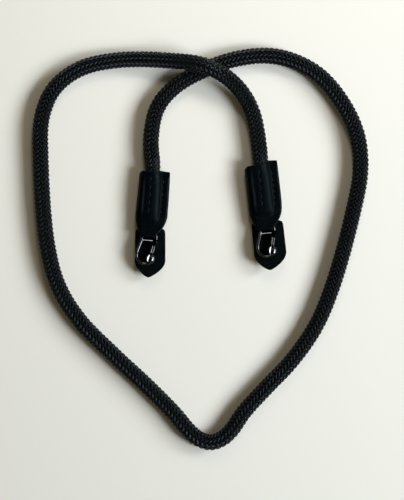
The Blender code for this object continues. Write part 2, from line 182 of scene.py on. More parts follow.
ROPE_REST_HEIGHT = 5.5 * MM  # of its middle, with the strands' outsides on the table
ROPE_STEP = 3.0 * MM  # between the points of its line
ROPE_ROUTE = (
    # m, from the left end's mouth round the heart and over its own start to the right end's mouth
    (-0.0396, 0.0295, 0.0062),
    (-0.0392, 0.0349, 0.0062),
    (-0.0407, 0.0537, 0.0050),
    (-0.0369, 0.0752, 0.0050),
    (-0.0259, 0.0895, 0.0050),
    (-0.0024, 0.1032, 0.0050),
    (0.0236, 0.1109, 0.0050),
    (0.0471, 0.1109, 0.0050),
    (0.0711, 0.1005, 0.0050),
    (0.0886, 0.0812, 0.0050),
    (0.0996, 0.0577, 0.0050),
    (0.1017, 0.0337, 0.0050),
    (0.0971, 0.0072, 0.0050),
    (0.0831, -0.0438, 0.0050),
    (0.0711, -0.0723, 0.0050),
    (0.0551, -0.0953, 0.0050),
    (0.0376, -0.1138, 0.0050),
    (0.0225, -0.1303, 0.0050),
    (0.0141, -0.1425, 0.0050),
    (0.0075, -0.1485, 0.0050),
    (0.0003, -0.1510, 0.0050),
    (-0.0073, -0.1491, 0.0050),
    (-0.0147, -0.1433, 0.0050),
    (-0.0249, -0.1313, 0.0050),
    (-0.0429, -0.1131, 0.0050),
    (-0.0669, -0.0907, 0.0050),
    (-0.0894, -0.0678, 0.0050),
    (-0.1034, -0.0453, 0.0050),
    (-0.1111, -0.0173, 0.0050),
    (-0.1157, 0.0427, 0.0050),
    (-0.1147, 0.0707, 0.0050),
    (-0.1064, 0.0897, 0.0050),
    (-0.0889, 0.1030, 0.0050),
    (-0.0619, 0.1090, 0.0050),
    (-0.0279, 0.1080, 0.0098),
    (-0.0034, 0.1035, 0.0163),
    (0.0166, 0.0915, 0.0100),
    (0.0282, 0.0737, 0.0050),
    (0.0340, 0.0396, 0.0062),
    (0.0344, 0.0342, 0.0062),
)


FINE_STEPS = 24  # between two points of the route, before the line is spaced evenly


def smooth_line(points, spacing):
    """Even points on a smooth curve through the given ones, and its length.

    The curve is a centripetal Catmull-Rom one, which makes no loops between uneven points.
    """
    knots = [Vector(p) for p in points]
    knots = [2 * knots[0] - knots[1], *knots, 2 * knots[-1] - knots[-2]]
    fine = []
    for a, b, c, d in zip(knots, knots[1:], knots[2:], knots[3:]):
        t1 = (b - a).length ** 0.5
        t2 = t1 + (c - b).length ** 0.5
        t3 = t2 + (d - c).length ** 0.5
        for k in range(FINE_STEPS):
            t = t1 + (t2 - t1) * k / FINE_STEPS
            ab = a.lerp(b, t / t1)
            bc = b.lerp(c, (t - t1) / (t2 - t1))
            cd = c.lerp(d, (t - t2) / (t3 - t2))
            abc = ab.lerp(bc, t / t2)
            bcd = bc.lerp(cd, (t - t1) / (t3 - t1))
            fine.append(abc.lerp(bcd, (t - t1) / (t2 - t1)))
    fine.append(knots[-2])
    length = sum((b - a).length for a, b in zip(fine, fine[1:]))
    step = length / round(length / spacing)
    even, walked = [fine[0]], 0.0
    for a, b in zip(fine, fine[1:]):
        ahead = (b - a).length
        while walked + ahead >= step * len(even) and step * len(even) < length - step / 2:
            even.append(a.lerp(b, (step * len(even) - walked) / ahead))
        walked += ahead
    even.append(fine[-1])
    return even, length


rope_line, rope_length = smooth_line(ROPE_ROUTE, ROPE_STEP)
for point in rope_line:
    point.z = max(point.z, ROPE_REST_HEIGHT)

PRESSED_POINTS, PRESSED_SHARE = 4, 0.14  # how far and how much the leather presses the rope in
rope_guide = bpy.data.curves.new("rope_guide", "CURVE")
rope_guide.dimensions = "3D"
rope_guide.twist_mode = "Z_UP"
rope_guide.use_radius = True
spline = rope_guide.splines.new("POLY")
spline.points.add(len(rope_line) - 1)
for i, point in enumerate(rope_line):
    inside = max(0.0, 1.0 - min(i, len(rope_line) - 1 - i) / PRESSED_POINTS)
    spline.points[i].co = (*point, 1.0)
    spline.points[i].radius = 1.0 - PRESSED_SHARE * inside
guide = bpy.data.objects.new("rope_guide", rope_guide)
bpy.context.scene.collection.objects.link(guide)

STRANDS = 12  # each way round
STRAND_TURN = 37.0 * MM  # along the rope, for one turn of a strand
STRAND_RADIUS = 4.3 * MM  # of a strand's middle, from the rope's
STRAND_WIDTH, STRAND_THICKNESS = 1.45 * MM, 1.6 * MM
STRAND_WAVE, WAVE_SHARPNESS = 0.4 * MM, 1.7  # how far it goes over and under, and how steeply
STRAND_FLATTENING = 0.05  # the share by which it is wider on top and narrower below
STRAND_SIDES, STRAND_LEVELS = 6, 4  # round a strand, and along one cell
CELLS = round(rope_length * STRANDS / STRAND_TURN)
CELL = rope_length / CELLS  # the braid's repeat along the rope
SAME_PLACE = 0.01 * MM


def edges_of(verts):
    """The edges at these vertices, each once, in the order of the vertices."""
    return list(dict.fromkeys(e for v in verts for e in v.link_edges))


def faces_of(verts):
    """The faces at these vertices, each once, in the order of the vertices."""
    return list(dict.fromkeys(f for v in verts for f in v.link_faces))


def next_ring(bm, edges):
    """Extrudes an open tube's last ring of edges in place, and gives the new vertices and edges."""
    made = bmesh.ops.extrude_edge_only(bm, edges=edges)["geom"]
    ring = [g for g in made if isinstance(g, bmesh.types.BMVert)]
    kept = set(ring)
    edges = [g for g in made if isinstance(g, bmesh.types.BMEdge)]
    return ring, [e for e in edges if all(v in kept for v in e.verts)]


def strand(bm, uv, start, way):
    """One strand over one cell of the braid: a tube on its helix, over and under the others."""
    ring = bmesh.ops.create_circle(bm, segments=STRAND_SIDES, radius=1.0)["verts"]
    edges = edges_of(ring)
    made = list(ring)
    for _ in range(STRAND_LEVELS):
        ring, edges = next_ring(bm, edges)
        bmesh.ops.translate(bm, vec=(0.0, 0.0, 1.0), verts=ring)
        made += ring
    for face in faces_of(made):
        middle = face.calc_center_median()
        for loop in face.loops:
            turn = atan2(middle.y, middle.x)
            turn += Vector((middle.x, middle.y)).angle_signed(Vector(loop.vert.co.xy)) * -1.0
            loop[uv].uv = (loop.vert.co.z / STRAND_LEVELS, turn / (2 * pi) + 0.5)
    for v in made:
        share = v.co.z / STRAND_LEVELS
        turn = start + way * share * 2 * pi / STRANDS
        wave = tanh(WAVE_SHARPNESS * cos(STRANDS / 2 * turn - pi / 4)) / tanh(WAVE_SHARPNESS) * way
        out = Vector((cos(turn), sin(turn), 0.0))
        along = Vector((-sin(turn), cos(turn), 0.0)) * way * STRAND_RADIUS * 2 * pi / STRANDS / CELL
        along = (along + Vector((0.0, 0.0, 1.0))).normalized()
        across = along.cross(out)
        centre = out * (STRAND_RADIUS + STRAND_WAVE * wave) + Vector((0.0, 0.0, CELL * share))
        width = STRAND_WIDTH / 2 * (1.0 + STRAND_FLATTENING * wave)
        v.co = centre + across * (v.co.x * width) + out * (v.co.y * STRAND_THICKNESS / 2)


def applied(piece):
    """A new bmesh of a piece with its modifiers applied. The piece itself is taken away."""
    bpy.context.view_layer.update()
    graph = bpy.context.evaluated_depsgraph_get()
    done = bpy.data.meshes.new_from_object(piece.evaluated_get(graph))
    bm = bmesh.new()
    bm.from_mesh(done)
    bpy.data.meshes.remove(done)
    bpy.data.objects.remove(piece)
    return bm


def braid(name, way, material):
    """All the strands that turn one way, over the rope's whole length, bent along its line."""
    bm = bmesh.new()
    uv = bm.loops.layers.uv.new("along")
    for k in range(STRANDS):
        strand(bm, uv, 2 * pi * k / STRANDS, way)
    piece = as_object(name, bm)
    rows = piece.modifiers.new("rows", "ARRAY")
    rows.count = CELLS
    rows.use_relative_offset = False
    rows.use_constant_offset = True
    rows.constant_offset_displace = (0.0, 0.0, CELL)
    rows.use_merge_vertices = True
    rows.merge_threshold = SAME_PLACE
    bend = piece.modifiers.new("bend", "CURVE")
    bend.object = guide
    bend.deform_axis = "POS_Z"
    bm = applied(piece)
    bmesh.ops.holes_fill(bm, edges=[e for e in bm.edges if e.is_boundary])
    bmesh.ops.recalc_face_normals(bm, faces=bm.faces)
    return show(name, bm, material, "strap", 60.0)


yarn, tree, shader = finish("braided_polyester_yarn")
# Filament polyester, dyed black: each strand is a flat bundle of twisted yarns, with fine filaments
# in them. Their tops catch the light as thin grey lines, and the gaps between the strands stay
# black.
YARNS = 5  # round a strand, about 1 mm apart
YARN_TWIST = 1.0  # how many yarns they turn on by in one cell
YARN_RELIEF, FILAMENT_SHARE = 0.12 * MM, 0.35  # how high the yarns stand, and the filaments' share
FILAMENTS, FADED_PATCHES = 2600.0, 320.0  # to a metre: about 0.4 mm and 3 mm
place = add(tree, "ShaderNodeUVMap", uv_map="along")
split = add(tree, "ShaderNodeSeparateXYZ", links={"Vector": place.outputs["UV"]})
lay = add(tree, "ShaderNodeMath", {1: YARN_TWIST}, {0: split.outputs["X"]}, operation="MULTIPLY")
round_strand = add(
    tree,
    "ShaderNodeMath",
    {1: float(YARNS)},
    {0: split.outputs["Y"], 2: lay.outputs[0]},
    operation="MULTIPLY_ADD",
)
angle = add(tree, "ShaderNodeMath", {1: 2 * pi}, {0: round_strand.outputs[0]}, operation="MULTIPLY")
ridge = add(tree, "ShaderNodeMath", {}, {0: angle.outputs[0]}, operation="COSINE")
body_place = add(tree, "ShaderNodeTexCoord")
fibre = add(
    tree,
    "ShaderNodeTexNoise",
    {"Scale": FILAMENTS, "Detail": 3.0, "Roughness": 0.7},
    {"Vector": body_place.outputs["Object"]},
)
height = add(
    tree,
    "ShaderNodeMath",
    {1: FILAMENT_SHARE},
    {0: fibre.outputs["Fac"], 2: ridge.outputs[0]},
    operation="MULTIPLY_ADD",
)
bump = add(
    tree,
    "ShaderNodeBump",
    {"Strength": 0.55, "Distance": YARN_RELIEF},
    {"Height": height.outputs[0]},
)
worn = add(
    tree,
    "ShaderNodeTexNoise",
    {"Scale": FADED_PATCHES, "Detail": 2.0},
    {"Vector": body_place.outputs["Object"]},
)
colour = add(
    tree,
    "ShaderNodeMix",
    {6: linear("#010203"), 7: linear("#030507")},
    {0: worn.outputs["Fac"]},
    data_type="RGBA",
)
tree.links.new(colour.outputs[2], shader.inputs["Base Color"])
tree.links.new(bump.outputs["Normal"], shader.inputs["Normal"])
shader.inputs["Roughness"].default_value = 0.4
shader.inputs["Specular IOR Level"].default_value = 0.36
shader.inputs["Specular Tint"].default_value = linear("#c3d6ea")

CORE_RADIUS = 3.6 * MM
core_line = bpy.data.curves.new("rope_core", "CURVE")
core_line.dimensions = "3D"
core_line.bevel_depth = CORE_RADIUS
core_line.bevel_resolution = 2
core_line.use_fill_caps = True
spline = core_line.splines.new("POLY")
spline.points.add(len(rope_line) - 1)
for i, point in enumerate(rope_line):
    spline.points[i].co = (*point, 1.0)
core_form = bpy.data.objects.new("rope_core_form", core_line)
bpy.context.scene.collection.objects.link(core_form)
bm = applied(core_form)
bmesh.ops.remove_doubles(bm, verts=bm.verts, dist=SAME_PLACE)
bmesh.ops.recalc_face_normals(bm, faces=bm.faces)
core_finish, tree, shader = finish("black_cotton_core")
# Loose cotton yarn, dyed black: a dull, uneven dark that only shows through the gaps and at the
# rope's ends.
COTTON_YARNS, COTTON_RELIEF = 900.0, 0.2 * MM  # to a metre, about 1 mm each
place = add(tree, "ShaderNodeTexCoord")
tufts = add(
    tree,
    "ShaderNodeTexNoise",
    {"Scale": COTTON_YARNS},
    {"Vector": place.outputs["Object"]},
)
bump = add(
    tree,
    "ShaderNodeBump",
    {"Strength": 0.5, "Distance": COTTON_RELIEF},
    {"Height": tufts.outputs["Fac"]},
)
tree.links.new(bump.outputs["Normal"], shader.inputs["Normal"])
shader.inputs["Base Color"].default_value = linear("#08080a")
shader.inputs["Roughness"].default_value = 0.95
rope_core = show("rope_core", bm, core_finish, "strap")

rope_one = braid("rope_strands_one_way", 1, yarn)
rope_other = braid("rope_strands_other_way", -1, yarn)
bpy.data.objects.remove(guide)
for piece in (rope_one, rope_other):
    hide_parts("rope")

# The pressed ends are seen only through the sleeves' mouths, so the CAD shapes stay, with the
# core's finish.
for name in ("left_rope_end", "right_rope_end"):
    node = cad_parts[name]
    node.data.materials.clear()
    node.data.materials.append(core_finish)


# ------------------------------------------------------------------ the leather sleeves
# One strip of smooth black calf leather at each end, folded round the rope's last 30 mm, with the
# fold on the left and the raw edges on the right. It is stitched down its middle and along those
# edges, and narrows to a tongue, whose end turns back round the hook's eye bar.

ENDS = {
    "left": {
        "mouth": (-0.0384, 0.0330),  # where the sleeve's mouth is, in m
        "turn": -4.3,  # of the whole end about +Z, in degrees
        "slope": 6.0,  # of the hook and the flap, down towards the tip
        "breadth": 1.0,  # of the sleeve and the flap, against the measures below
        "mouth_cut": (0.1, -0.9),  # mm that the fold and the raw edge stand behind the middle
        "lean": 0.0,  # mm that the mouth stands aside
        "crease": 0.12,  # mm deep, where the strip bends up to the eye bar
        "flap_turn": 4.0,
        "flap_shift": 0.1,
    },
    "right": {
        "mouth": (0.0339, 0.0379),
        "turn": 5.6,
        "slope": 9.0,
        "breadth": 1.05,
        "mouth_cut": (0.7, -2.3),
        "lean": -0.8,
        "crease": 0.5,
        "flap_turn": 0.0,
        "flap_shift": 0.6,
    },
}
# From here on the sizes are in mm, in each end's own place, until its matrix turns them to metres.
LEATHER = 1.4
SLEEVE_ROWS = (
    # From the mouth; then, across it, the fold, the end of the rope's bulge and the raw edge; the
    # heights of its top and underside, how deep the sewing draws the middle in, how square the
    # section is, and how far the margin is as thick as the rest.
    (0.0, -9.7, 5.2, 10.5, 12.2, 0.0, 0.3, 2.6, 0.0),
    (1.2, -10.0, 5.4, 10.7, 12.1, 0.0, 0.4, 2.6, 0.0),
    (4.0, -10.1, 5.7, 10.9, 11.7, 0.0, 0.7, 2.7, 0.0),
    (8.0, -10.1, 6.0, 11.0, 11.3, 0.0, 1.0, 2.8, 0.0),
    (13.0, -10.2, 6.1, 11.1, 11.0, 0.0, 1.1, 2.9, 0.0),
    (20.0, -10.4, 6.2, 11.2, 10.8, 0.0, 1.1, 2.9, 0.0),
    (26.0, -10.6, 6.3, 11.2, 10.5, 0.0, 1.0, 2.9, 0.0),
    (30.0, -10.7, 6.5, 11.1, 9.95, 0.0, 0.6, 2.9, 0.1),
    (32.5, -10.5, 6.9, 10.7, 9.4, 0.5, 0.3, 3.2, 0.4),
    (35.0, -10.0, 7.4, 9.9, 9.1, 2.9, 0.0, 4.0, 0.8),
    (37.6, -9.1, 7.6, 8.7, 9.35, 4.6, 0.0, 6.0, 1.0),
    (39.8, -8.4, 6.2, 7.0, 9.8, 5.0, 0.0, 8.0, 1.0),
    (41.1, -8.1, 5.4, 6.1, 10.0, 5.1, 0.0, 8.0, 1.0),
    (41.2, -8.0, 5.3, 6.0, 10.05, 8.7, 0.0, 8.0, 1.0),
    (43.4, -7.6, 3.7, 4.3, 10.35, 9.4, 0.0, 8.0, 1.0),
    (44.8, -7.2, 2.6, 3.1, 10.65, 10.1, 0.0, 8.0, 1.0),
)
TONGUE_END = 44.8
EYE_STATION, EYE_HEIGHT = 42.6, 7.4  # of the eye bar's middle
ROLL = (-7.4, -4.9)  # across the sleeve, where the rolled fold drops to the sewn middle
UNDER_PULL = 0.3  # how deep the underside is drawn in, as a share of the top
UNDER_FULLNESS = 1.4  # how much squarer the underside is, where it lies on the table
LEDGE, LEDGE_LOST = 0.9, 0.6  # of the lower raw edge past the upper, and its loss in the tongue
LEDGE_RISE = (2.0, 6.0)  # from the mouth, where the ledge comes in
MARGIN_START, RIM_START, MARGIN_SHARE = 0.72, 0.86, 0.14  # shares of the way from fold to raw edge
LINING_GAP = 0.3  # from the rope's place to the seam inside the margin
CUT_REACH = 9.0  # from the mouth, over which its slanted cut fades out
CORNER, CORNER_ACROSS, CORNER_REACH = 1.1, (7.8, 10.0), 3.0  # of the fold, rounded off at the mouth
LEAN_REACH, LEAN_ACROSS = 32.0, (-7.0, 3.0)
CREASE_STATION, CREASE_BOW, CREASE_HALF = 36.0, 0.03, 0.7


def row_at(rows, station):
    """The measures at a station, on smooth curves through a table's rows that don't overshoot."""
    station = min(max(station, rows[0][0]), rows[-1][0])
    k = next(i for i in range(len(rows) - 1) if station <= rows[i + 1][0])
    low, high = rows[k], rows[k + 1]
    before, after = rows[max(k - 1, 0)], rows[min(k + 2, len(rows) - 1)]
    step = high[0] - low[0]
    t = (station - low[0]) / step
    values = []
    for b, v, w, a in zip(before, low, high, after):
        slope = (w - v) / step
        behind = (v - b) / (low[0] - before[0]) if before is not low else slope
        ahead = (a - w) / (after[0] - high[0]) if after is not high else slope
        start = 2 * behind * slope / (behind + slope) if behind * slope > 0 else 0.0
        end = 2 * ahead * slope / (ahead + slope) if ahead * slope > 0 else 0.0
        value = v * (1 + 2 * t) * (1 - t) ** 2 + w * (3 - 2 * t) * t * t
        values.append(value + step * t * (1 - t) * (start * (1 - t) - end * t))
    return values


def eased(value, low, high):
    """0 below low, 1 above high, and a smooth rise between them."""
    t = min(1.0, max(0.0, (value - low) / (high - low)))
    return t * t * (3 - 2 * t)


def sleeve_point(station, turn, end, inset):
    """A point of the section: turn goes from 0 at the fold over the top to 0.5 at the raw edge."""
    _, fold, bulge, edge, top, bottom, drawn, square, flat = row_at(SLEEVE_ROWS, station)
    breadth = end["breadth"]
    middle, height = (top + bottom) / 2, (top - bottom) / 2 - inset
    left, right, raw = fold * breadth + inset, bulge * breadth, edge * breadth
    margin = min(LEATHER, height) * (1 - flat) + height * flat
    ledge = LEDGE * (1 - LEDGE_LOST * flat) * eased(station, *LEDGE_RISE)
    if inset:
        right -= inset
        raw, margin, ledge = right + LINING_GAP, LINING_GAP, 0.0
    above = turn <= 0.5
    share = min(turn, 1 - turn) / 0.5
    if share > MARGIN_START:  # the margin, flat to the raw edges
        out = min(1.0, (share - MARGIN_START) / MARGIN_SHARE)
        down = max(0.0, (share - RIM_START) / MARGIN_SHARE)
        if above:
            across = right + (raw - ledge - right) * out + ledge * max(0.0, 2 * down - 1)
            rise = margin * (1 - min(1.0, 2 * down))
        else:
            across, rise = right + (raw - right) * out, -margin * (1 - down)
    else:  # the oval round the rope, drawn in past the rolled fold
        s = -cos(pi * share / MARGIN_START)
        across = (left + right) / 2 + (right - left) / 2 * s
        oval = (1 - min(abs(s), 1.0) ** square) ** 0.5
        pull = drawn * eased(across / breadth, *ROLL)
        if not above:
            pull *= UNDER_PULL
        rise = height * (oval if above else min(1.0, UNDER_FULLNESS * oval))
        if s > 0:
            rise = max(rise - pull, margin) + pull
        rise = (rise - pull) * (1 if above else -1)
    fold_cut, raw_cut = end["mouth_cut"]
    aside = across / (raw if across > 0 else -left)
    cut = (raw_cut if across > 0 else fold_cut) * abs(aside) * (1 - eased(station, 0.0, CUT_REACH))
    corner = CORNER * eased(-across / breadth, *CORNER_ACROSS)
    corner *= 1 - eased(station, 0.0, CORNER_REACH)
    crease = 0.0
    if above:
        behind = station - CREASE_STATION + CREASE_BOW * across * across
        crease = end["crease"] * exp(-((behind / CREASE_HALF) ** 2))
    lean = end["lean"] * (1 - eased(station, 0.0, LEAN_REACH))
    across += lean * (1 - eased(across, *LEAN_ACROSS))
    return Vector((across, -station - cut - corner, middle + rise - crease))


def tube(bm, levels, points):
    """A closed tube of rings. points(level, turn) places each vertex, with turn from 0 to 1."""
    ring = bmesh.ops.create_circle(bm, segments=SLEEVE_POINTS, radius=1.0)["verts"]
    edges = edges_of(ring)
    rings = [ring]
    bmesh.ops.contextual_create(bm, geom=edges)
    for _ in levels[1:]:
        ring, edges = next_ring(bm, edges)
        rings.append(ring)
    bmesh.ops.contextual_create(bm, geom=edges)
    for level, ring in zip(levels, rings):
        for v in ring:
            v.co = points(level, (atan2(v.co.y, v.co.x) / (2 * pi)) % 1.0)


def remeshed(name, bm, voxel, smoothing):
    """Overlapping closed forms as one skin, with small fillets where they meet."""
    bmesh.ops.recalc_face_normals(bm, faces=bm.faces)
    piece = as_object(name, bm)
    skin = piece.modifiers.new("skin", "REMESH")
    skin.mode = "VOXEL"
    skin.voxel_size = voxel
    soften = piece.modifiers.new("soften", "SMOOTH")
    soften.factor = 0.5
    soften.iterations = smoothing
    return applied(piece)


LOOP_WIDTH, LOOP_RADIUS, LOOP_HOLE, LOOP_SIDES = 7.0, 2.6, 1.3, 48
LOOP_START = 1.9  # from the eye bar's middle to the straight side, where the loop joins the tongue


def add_loop(bm):
    """The tongue's narrow end, turned back round the eye bar, which is at the origin."""
    outer = bmesh.ops.create_circle(bm, segments=LOOP_SIDES, radius=LOOP_RADIUS)["verts"]
    for v in outer:
        if v.co.x > 0:
            v.co *= min(LOOP_START / max(v.co.x, 1e-6), LOOP_RADIUS / max(abs(v.co.y), 1e-6))
    inner = bmesh.ops.create_circle(bm, segments=LOOP_SIDES, radius=LOOP_HOLE)["verts"]
    faces = bmesh.ops.bridge_loops(bm, edges=edges_of(outer + inner))["faces"]
    made = bmesh.ops.extrude_face_region(bm, geom=faces)["geom"]
    far = [g for g in made if isinstance(g, bmesh.types.BMVert)]
    bmesh.ops.translate(bm, vec=(0.0, 0.0, LOOP_WIDTH), verts=far)
    loop = outer + inner + far
    # The circle's X is turned to the sleeve's Y, its Y to Z, and its thickness to X.
    turned = Matrix(((0, 0, 1, -LOOP_WIDTH / 2), (1, 0, 0, 0), (0, 1, 0, 0), (0, 0, 0, 1)))
    bmesh.ops.transform(bm, matrix=turned, verts=loop)
    return loop


leather, tree, shader = finish("smooth_black_calf_leather")
# Full-grain calf, dyed through and finished with wax: nearly black, with a fine pebbled grain that
# breaks up a broad, soft gloss. The raw edges are left unpolished; their thin grey line is partly
# the open fibres' own colour and partly a painted highlight of the window light catching the cut
# faces.
GRAIN, WRINKLE, FIBRE, GRAIN_DEPTH = 0.55 * MM, 2.6 * MM, 0.3 * MM, 0.09 * MM
place = add(tree, "ShaderNodeTexCoord")
pebbles = add(
    tree,
    "ShaderNodeTexVoronoi",
    {"Scale": 1 / GRAIN, "Randomness": 1.0},
    {"Vector": place.outputs["Object"]},
    feature="SMOOTH_F1",
)
wrinkles = add(
    tree,
    "ShaderNodeTexNoise",
    {"Scale": 1 / WRINKLE, "Detail": 4.0, "Roughness": 0.6, "Distortion": 0.6},
    {"Vector": place.outputs["Object"]},
)
fibres = add(
    tree,
    "ShaderNodeTexNoise",
    {"Scale": 1 / FIBRE, "Detail": 3.0, "Roughness": 0.8},
    {"Vector": place.outputs["Object"]},
)
relief = add(
    tree,
    "ShaderNodeMath",
    {1: 0.9},
    {0: wrinkles.outputs["Fac"], 2: pebbles.outputs["Distance"]},
    operation="MULTIPLY_ADD",
)
bump = add(
    tree,
    "ShaderNodeBump",
    {"Strength": 0.7, "Distance": GRAIN_DEPTH},
    {"Height": relief.outputs[0]},
)
wear = add(
    tree,
    "ShaderNodeMapRange",
    {"From Min": 0.35, "From Max": 0.7, "To Min": 0.38, "To Max": 0.5},
    {"Value": wrinkles.outputs["Fac"]},
)
dye = add(
    tree,
    "ShaderNodeMix",
    {6: linear("#010407"), 7: linear("#04080c")},
    {0: wrinkles.outputs["Fac"]},
    data_type="RGBA",
)
# The raw edges' grey: partly the open fibres' own colour, partly a painted highlight of the light
# that catches the cut faces.
cut = add(
    tree,
    "ShaderNodeMix",
    {6: linear("#101416"), 7: linear("#343a3d")},
    {0: fibres.outputs["Fac"]},
    data_type="RGBA",
)
raw_edge_painted_glint = add(tree, "ShaderNodeAttribute", attribute_name="raw_edge_painted_glint")
colour = add(
    tree,
    "ShaderNodeMix",
    {},
    {0: raw_edge_painted_glint.outputs["Fac"], 6: dye.outputs[2], 7: cut.outputs[2]},
    data_type="RGBA",
)
dulled = add(
    tree,
    "ShaderNodeMath",
    {1: 0.4},
    {0: raw_edge_painted_glint.outputs["Fac"], 2: wear.outputs["Result"]},
    operation="MULTIPLY_ADD",
)
tree.links.new(colour.outputs[2], shader.inputs["Base Color"])
tree.links.new(dulled.outputs[0], shader.inputs["Roughness"])
tree.links.new(bump.outputs["Normal"], shader.inputs["Normal"])
shader.inputs["Specular IOR Level"].default_value = 0.06
shader.inputs["Specular Tint"].default_value = linear("#bcd8ea")

thread, tree, shader = finish("waxed_black_linen_thread")
# Twisted linen thread drawn through wax, so that each stitch has a small grey glint along its top.
TWIST, TWIST_DEPTH = 0.08 * MM, 0.06 * MM
place = add(tree, "ShaderNodeTexCoord")
twist = add(
    tree,
    "ShaderNodeTexWave",
    {"Scale": 1 / (2 * pi) / TWIST, "Distortion": 1.0, "Detail": 1.0},
    {"Vector": place.outputs["Object"]},
    bands_direction="DIAGONAL",
)
bump = add(
    tree,
    "ShaderNodeBump",
    {"Strength": 0.5, "Distance": TWIST_DEPTH},
    {"Height": twist.outputs["Fac"]},
)
tree.links.new(bump.outputs["Normal"], shader.inputs["Normal"])
shader.inputs["Base Color"].default_value = linear("#0a0f12")
shader.inputs["Specular Tint"].default_value = linear("#bcd8ea")
shader.inputs["Roughness"].default_value = 0.45
shader.inputs["Specular IOR Level"].default_value = 0.2

STITCH_ROWS = (
    # The place across the sleeve, from the mouth to the first stitch, from one stitch to the next,
    # how many stitches, and the length of one.
    (-1.7, 4.0, 5.2, 5, 3.0),
    (6.5, 5.4, 4.1, 6, 2.5),
)
THREAD_WIDTH, THREAD_THICKNESS, THREAD_SINK = 0.8, 0.5, 0.4
PULL_REACH, PULL_DEPTH = 1.2, 0.25  # of the hollow that each hole draws in the leather
TOP_FACING = 0.2  # how far up the skin has to face to be hollowed
MOUTH_REACH = 3.0  # how far down the sleeve the mouth's slanted rim comes
RIM_FACING = (0.4, 0.8)  # how far the skin faces out of the mouth where its cut begins and is full
SIDE_FACING = (0.6, 0.85)  # how far it faces up or down where the raw edge's cut is full and ends
PAST_BULGE, INSIDE_LEDGE, CUT_BLEND = 0.5, 0.6, (0.2, 0.3)  # across, where that cut begins
CLEAR = 40.0  # well above or below the leather


def draw_in(bm, holes):
    """Hollows the top of the leather round its stitch holes."""
    nearest = kdtree.KDTree(len(holes))
    for i, hole in enumerate(holes):
        nearest.insert((hole[0], hole[1], 0.0), i)
    nearest.balance()
    bm.normal_update()
    for v in bm.verts:
        if v.normal.z < TOP_FACING:
            continue
        away = nearest.find((v.co.x, v.co.y, 0.0))[2]
        if away < PULL_REACH:
            v.co.z -= PULL_DEPTH * (1 - (away / PULL_REACH) ** 2) ** 2


def mark_cuts(bm, breadth):
    """Marks the raw edges in the attribute raw_edge_painted_glint: 1 on a cut and 0 on the grain."""
    # The cut faces marked here are painted a lighter grey, which is partly a painted highlight of
    # the light catching them.
    layer = bm.verts.layers.float.new("raw_edge_painted_glint")
    bm.normal_update()
    full, none = SIDE_FACING
    for v in bm.verts:
        if v.normal.y > RIM_FACING[0] and v.co.y > -MOUTH_REACH:
            v[layer] = eased(v.normal.y, *RIM_FACING)
        elif v.co.x > 0 and abs(v.normal.z) < none:
            bulge, edge = row_at(SLEEVE_ROWS, -v.co.y)[2:4]
            start = max(bulge + PAST_BULGE, edge - LEDGE - INSIDE_LEDGE) * breadth
            cut = eased(v.co.x, start - CUT_BLEND[0], start + CUT_BLEND[1])
            v[layer] = cut * eased(-abs(v.normal.z), -none, -full)


def add_stitch(bm, surface, across, start, length, side):
    """A stitch on the top (side 1) or the underside (-1): a drop of thread, sunk in the leather."""
    down = Vector((0.0, 0.0, -side))
    first = surface.ray_cast(Vector((across, -start, CLEAR * side)), down)[0]
    last = surface.ray_cast(Vector((across, -start - length, CLEAR * side)), down)[0]
    tilt = atan2(first.z - last.z, length)
    middle = (first + last) / 2 + Vector((0.0, 0.0, side * (THREAD_THICKNESS / 2 - THREAD_SINK)))
    form = Matrix.Diagonal((THREAD_WIDTH / 2, length / 2, THREAD_THICKNESS / 2, 1.0))
    place = Matrix.Translation(middle) @ Matrix.Rotation(tilt, 4, "X") @ form
    bmesh.ops.create_uvsphere(bm, u_segments=16, v_segments=12, radius=1.0, matrix=place)


SLEEVE_POINTS = 144  # round the section
OUTSIDE_RINGS, INSIDE_RINGS = 180, 40
RIM = ((0.15, 0.12), (0.0, 0.45), (0.0, 0.95), (0.15, 1.28))  # stations and insets over the rim
RIM_END, LINING_LENGTH = 0.5, 28.5
SLEEVE_VOXEL, SLEEVE_SMOOTHING = 0.25, 3

